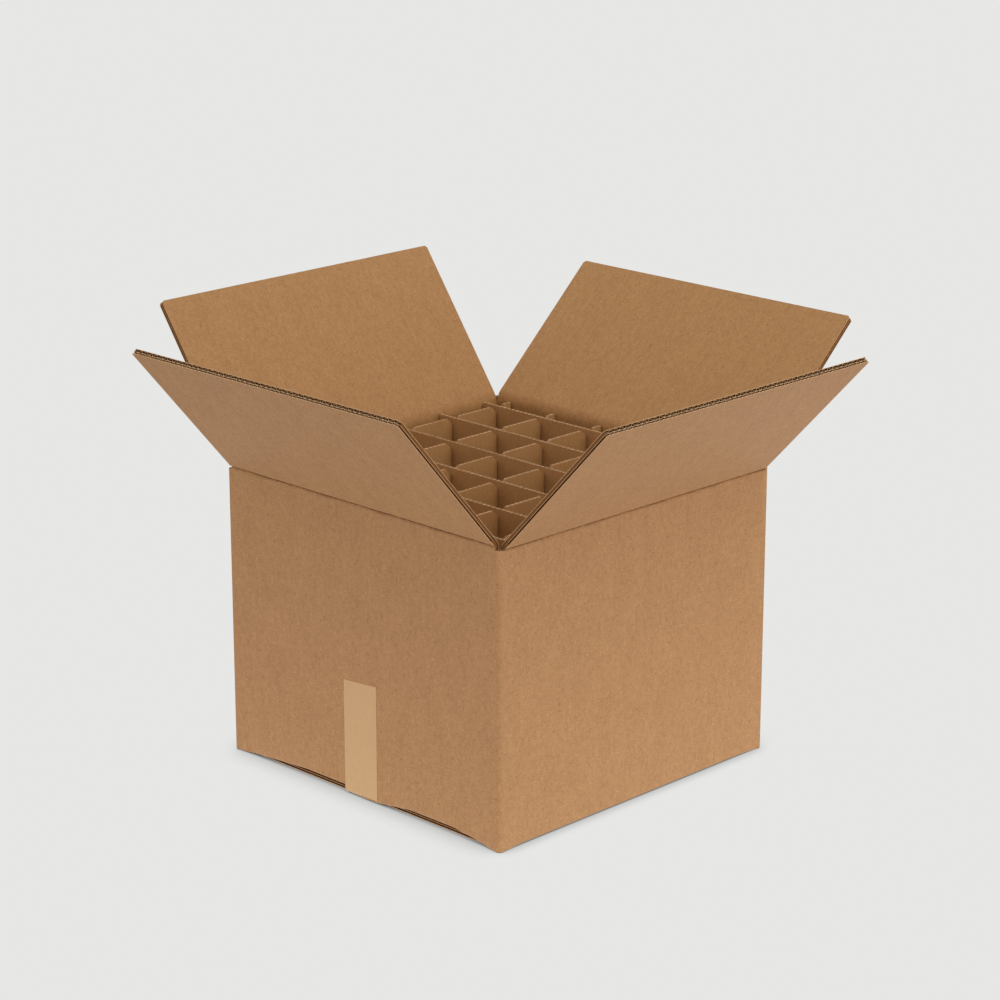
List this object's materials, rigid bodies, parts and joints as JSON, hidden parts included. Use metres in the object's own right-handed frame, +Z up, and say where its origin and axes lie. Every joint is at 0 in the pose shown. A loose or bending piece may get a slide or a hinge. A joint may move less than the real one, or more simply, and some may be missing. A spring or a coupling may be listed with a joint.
{
  "type": "bottle shipping box",
  "caption": "Square corrugated shipping box with four open hinged flaps and an interlocking divider that forms a grid of bottle cells.",
  "frame": {"origin": "middle of the box's underside, on the floor, under the bottom tape", "axes": "+Z up along the walls, +X to the right flap, -Y to the front wall with the taped seam's end"},
  "size_m": [0.6435, 0.6664, 0.4729],
  "materials": {
    "box_board": "matt brown kraft double-wall board",
    "divider_board": "matt brown kraft single-wall board",
    "kraft_tape": "matt light kraft paper tape"
  },
  "bodies": {
    "box": {"box_shell": "box_board", "bottom_tape": "kraft_tape", "row_divider_1": "divider_board", "row_divider_2": "divider_board", "row_divider_3": "divider_board", "row_divider_4": "divider_board", "row_divider_5": "divider_board", "row_divider_6": "divider_board", "column_divider_1": "divider_board", "column_divider_2": "divider_board", "column_divider_3": "divider_board", "column_divider_4": "divider_board", "column_divider_5": "divider_board", "column_divider_6": "divider_board"},
    "front_flap_body": {"front_flap": "box_board"},
    "back_flap_body": {"back_flap": "box_board"},
    "left_flap_body": {"left_flap": "box_board"},
    "right_flap_body": {"right_flap": "box_board"}
  },
  "joints": [
    {"name": "front_flap_crease", "type": "hinge", "parent": "box", "child": "front_flap_body", "pos_m": [0, -0.1946, 0.321], "axis": [1, 0, 0], "range_deg": [-131, 49]},
    {"name": "back_flap_crease", "type": "hinge", "parent": "box", "child": "back_flap_body", "pos_m": [0, 0.1946, 0.321], "axis": [-1, 0, 0], "range_deg": [-137.1, 42.9]},
    {"name": "left_flap_crease", "type": "hinge", "parent": "box", "child": "left_flap_body", "pos_m": [-0.1946, 0, 0.3148], "axis": [0, -1, 0], "range_deg": [-125.6, 54.4]},
    {"name": "right_flap_crease", "type": "hinge", "parent": "box", "child": "right_flap_body", "pos_m": [0.1946, 0, 0.3148], "axis": [0, 1, 0], "range_deg": [-133.3, 46.7]}
  ]
}
